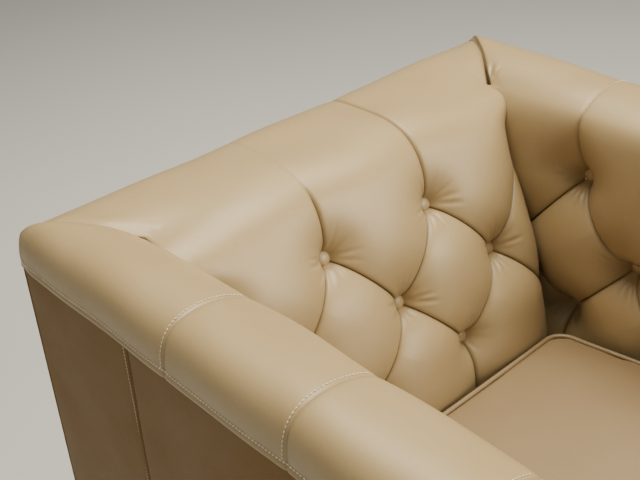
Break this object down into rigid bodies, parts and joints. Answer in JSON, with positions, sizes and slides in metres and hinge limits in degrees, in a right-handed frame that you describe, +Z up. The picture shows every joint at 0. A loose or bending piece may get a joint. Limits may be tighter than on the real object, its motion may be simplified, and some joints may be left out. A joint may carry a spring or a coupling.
{
  "type": "upholstered armchair",
  "caption": "Square-armed leather armchair with arms and back of equal height, deep diamond-tufted inside faces, a loose piped seat cushion and short tapered legs.",
  "frame": {"origin": "on the floor, under the middle of the chair's outline", "axes": "+Z up, +X to the sitter's left, -Y the way the chair faces"},
  "size_m": [0.884, 0.85, 0.81],
  "materials": {
    "beech": "sawn beech, unfinished",
    "plywood": "raw plywood",
    "foam": "open-cell upholstery foam",
    "leather": "semi-gloss smooth leather, warm taupe",
    "leather_outside": "satin smooth leather, warm taupe",
    "leather_seat": "satin smooth leather, warm taupe",
    "leather_piping": "rolled leather piping",
    "leg_wood": "dark walnut stain, satin lacquer",
    "zinc_steel": "zinc plated",
    "spring_steel": "drawn spring wire",
    "webbing": "elastic upholstery webbing",
    "black_cloth": "black cambric",
    "nylon": "moulded nylon",
    "button_leather": "leather-covered buttons",
    "thread": "waxed polyester thread"
  },
  "bodies": {
    "seat_cushion": {"seat_cushion_cover": "leather_seat", "seat_cushion_foam": "foam", "seat_cushion_zip": "nylon", "cushion_top_piping": "leather_piping", "cushion_bottom_piping": "leather_piping"},
    "frame": {"front_seat_rail": "beech", "rear_seat_rail": "beech", "spring_rail": "beech", "back_top_rail": "beech", "back_lower_rail": "beech", "left_seat_rail": "beech", "left_front_post": "beech", "left_rear_post": "beech", "left_arm_top_rail": "beech", "left_arm_lower_rail": "beech", "left_arm_inner_panel": "plywood", "left_arm_foam": "foam", "left_arm_cover": "leather", "left_arm_front_panel": "leather", "left_outside_arm_panel": "leather_outside", "left_front_corner_block": "beech", "left_front_leg": "leg_wood", "left_front_leg_bolt": "zinc_steel", "left_front_glide": "nylon", "left_rear_corner_block": "beech", "left_rear_leg": "leg_wood", "left_rear_leg_bolt": "zinc_steel", "left_rear_glide": "nylon", "right_seat_rail": "beech", "right_front_post": "beech", "right_rear_post": "beech", "right_arm_top_rail": "beech", "right_arm_lower_rail": "beech", "right_arm_inner_panel": "plywood", "right_arm_foam": "foam", "right_arm_cover": "leather", "right_arm_front_panel": "leather", "right_outside_arm_panel": "leather_outside", "right_front_corner_block": "beech", "right_front_leg": "leg_wood", "right_front_leg_bolt": "zinc_steel", "right_front_glide": "nylon", "right_rear_corner_block": "beech", "right_rear_leg": "leg_wood", "right_rear_leg_bolt": "zinc_steel", "right_rear_glide": "nylon", "seat_spring_1": "spring_steel", "seat_spring_2": "spring_steel", "seat_spring_3": "spring_steel", "seat_spring_4": "spring_steel", "seat_spring_5": "spring_steel", "back_webbing_1": "webbing", "back_webbing_2": "webbing", "back_webbing_3": "webbing", "back_foam": "foam", "inside_back_cover": "leather", "outside_back_panel": "leather_outside", "front_border": "leather", "deck_pad": "black_cloth", "dust_cover": "black_cloth"}
  },
  "joints": [
    {"name": "seat_cushion_lift", "type": "slide", "parent": "frame", "child": "seat_cushion", "axis": [0, 0, 1], "range_m": [0, 0.54]}
  ]
}
